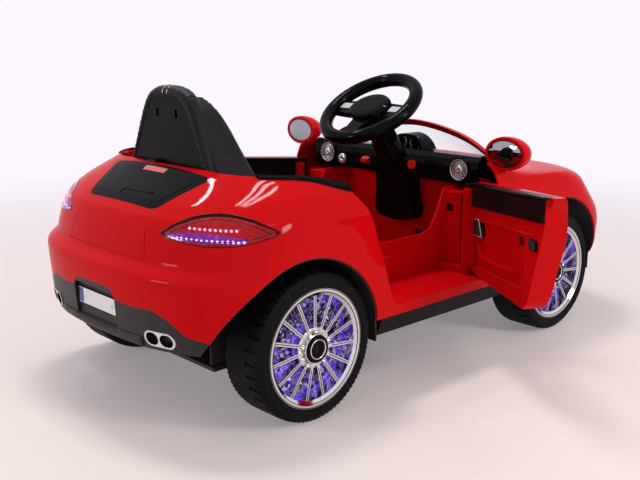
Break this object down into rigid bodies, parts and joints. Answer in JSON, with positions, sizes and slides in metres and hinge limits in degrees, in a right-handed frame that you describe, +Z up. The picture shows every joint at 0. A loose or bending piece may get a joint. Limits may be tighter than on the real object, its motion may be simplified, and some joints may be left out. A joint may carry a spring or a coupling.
{
  "type": "electric ride-on car",
  "caption": "Child's electric ride-on car with an open cockpit, opening doors, padded seat, working steering and spoked wheels with tail lamps.",
  "frame": {"origin": "on the ground under the middle of the rear axle", "axes": "+X forward, +Y to the left of the car, +Z up"},
  "size_m": [1.1584, 0.8674, 0.5233],
  "materials": {
    "body_red": "gloss",
    "black_satin": "satin",
    "black_gloss": "gloss",
    "grey_dark": "satin",
    "tyre_black": "matte",
    "chrome": "chrome plated",
    "light_violet": "lit",
    "lamp_red": "clear",
    "lamp_clear": "clear",
    "screen_clear": "clear",
    "mirror": "polished",
    "leather_black": "matte",
    "steel": "plain",
    "plate_white": "gloss",
    "silver": "satin",
    "button_red": "gloss"
  },
  "bodies": {
    "car_body": {"arch_liners": "grey_dark", "battery": "grey_dark", "belt_trims": "black_gloss", "charge_socket": "black_satin", "chassis_tray": "grey_dark", "dashboard": "black_gloss", "door_ledges": "body_red", "exhaust_tips": "chrome", "floor_pan": "body_red", "front_axle_beam": "steel", "front_body": "body_red", "front_grille": "black_gloss", "gear_motors": "grey_dark", "headlamps": "lamp_clear", "high_brake_light": "lamp_red", "mirror_glasses": "mirror", "mirror_housings": "body_red", "number_plate": "plate_white", "rear_axle": "steel", "rear_body": "body_red", "rear_diffuser": "grey_dark", "rear_window": "black_gloss", "seat_back_cushion": "leather_black", "seat_back_panel": "black_satin", "seat_base_cushion": "leather_black", "seat_box": "body_red", "side_skirts": "black_satin", "tail_lamp_leds": "light_violet", "tail_lamps": "lamp_red", "tub_sides": "body_red", "windscreen": "screen_clear", "windscreen_frame": "body_red"},
    "door_right": {"door_right": "body_red", "door_right_rail": "black_satin"},
    "latch_right": {"door_right_latch": "black_satin"},
    "door_left": {"door_left": "body_red", "door_left_rail": "black_satin"},
    "latch_left": {"door_left_latch": "black_satin"},
    "steering": {"steering_wheel": "black_gloss", "steering_shaft": "steel"},
    "horn_right": {"horn_button_right": "silver"},
    "horn_left": {"horn_button_left": "silver"},
    "knuckle_right": {"knuckle_right": "steel"},
    "knuckle_left": {"knuckle_left": "steel"},
    "tie_rod": {"tie_rod": "steel"},
    "pedal": {"pedal": "black_satin"},
    "start_button": {"start_button": "button_red"},
    "gear_switch": {"gear_switch": "button_red"},
    "wheel_rear_right": {"tyre_rear_right": "tyre_black", "rim_rear_right": "chrome", "wheel_light_rear_right": "light_violet"},
    "wheel_rear_left": {"tyre_rear_left": "tyre_black", "rim_rear_left": "chrome", "wheel_light_rear_left": "light_violet"},
    "wheel_front_right": {"tyre_front_right": "tyre_black", "rim_front_right": "chrome", "wheel_light_front_right": "light_violet"},
    "wheel_front_left": {"tyre_front_left": "tyre_black", "rim_front_left": "chrome", "wheel_light_front_left": "light_violet"}
  },
  "joints": [
    {"name": "door_right_hinge", "type": "hinge", "parent": "car_body", "child": "door_right", "pos_m": [0.43, -0.236, 0.245], "axis": [0, 0, 1], "range_deg": [-58, 0]},
    {"name": "door_left_hinge", "type": "hinge", "parent": "car_body", "child": "door_left", "pos_m": [0.43, 0.236, 0.245], "axis": [0, 0, -1], "range_deg": [0, 58]},
    {"name": "latch_right_press", "type": "slide", "parent": "door_right", "child": "latch_right", "axis": [0.848, -0.5299, 0], "range_m": [0, 0.003], "stiffness_N_per_m": 300},
    {"name": "latch_left_press", "type": "slide", "parent": "door_left", "child": "latch_left", "axis": [0, 1, 0], "range_m": [0, 0.003], "stiffness_N_per_m": 300},
    {"name": "steering_turn", "type": "hinge", "parent": "car_body", "child": "steering", "pos_m": [0.41, 0, 0.457], "axis": [-0.5446, 0, 0.8387], "range_deg": [-40, 40]},
    {"name": "horn_right_press", "type": "slide", "parent": "steering", "child": "horn_right", "axis": [0.5446, 0, -0.8387], "range_m": [0, 0.0025], "stiffness_N_per_m": 400},
    {"name": "horn_left_press", "type": "slide", "parent": "steering", "child": "horn_left", "axis": [0.5446, 0, -0.8387], "range_m": [0, 0.0025], "stiffness_N_per_m": 400},
    {"name": "knuckle_right_turn", "type": "hinge", "parent": "car_body", "child": "knuckle_right", "pos_m": [0.678, -0.172, 0.122], "axis": [0, 0, 1], "range_deg": [-20.2, 20.2]},
    {"name": "knuckle_left_turn", "type": "hinge", "parent": "car_body", "child": "knuckle_left", "pos_m": [0.678, 0.172, 0.122], "axis": [0, 0, 1], "range_deg": [-20.2, 20.2]},
    {"name": "tie_rod_shift", "type": "slide", "parent": "car_body", "child": "tie_rod", "axis": [0, -1, 0], "range_m": [-0.0145, 0.0145]},
    {"name": "wheel_rear_right_spin", "type": "hinge", "parent": "car_body", "child": "wheel_rear_right", "pos_m": [0, -0.24, 0.122], "axis": [0, 1, 0], "continuous": true},
    {"name": "wheel_rear_left_spin", "type": "hinge", "parent": "car_body", "child": "wheel_rear_left", "pos_m": [0, 0.24, 0.122], "axis": [0, 1, 0], "continuous": true},
    {"name": "wheel_front_right_spin", "type": "hinge", "parent": "knuckle_right", "child": "wheel_front_right", "pos_m": [0.678, -0.24, 0.122], "axis": [0, 1, 0], "continuous": true},
    {"name": "wheel_front_left_spin", "type": "hinge", "parent": "knuckle_left", "child": "wheel_front_left", "pos_m": [0.678, 0.24, 0.122], "axis": [0, 1, 0], "continuous": true},
    {"name": "pedal_press", "type": "hinge", "parent": "car_body", "child": "pedal", "pos_m": [0.468, -0.08, 0.132], "axis": [0, 1, 0], "range_deg": [0, 8], "stiffness_Nm_per_rad": 3, "springref_deg": -2.86},
    {"name": "start_press", "type": "slide", "parent": "car_body", "child": "start_button", "axis": [1, 0, 0], "range_m": [0, 0.003], "stiffness_N_per_m": 300},
    {"name": "gear_switch_rock", "type": "hinge", "parent": "car_body", "child": "gear_switch", "pos_m": [0.472, 0.066, 0.34], "axis": [0, 1, 0], "range_deg": [-10, 10]}
  ],
  "couplings": [
    {"joint": "knuckle_right_turn", "follows": "steering_turn", "ratio": 0.5},
    {"joint": "knuckle_left_turn", "follows": "steering_turn", "ratio": 0.5},
    {"joint": "tie_rod_shift", "follows": "steering_turn", "m_per_rad": 0.0202}
  ]
}
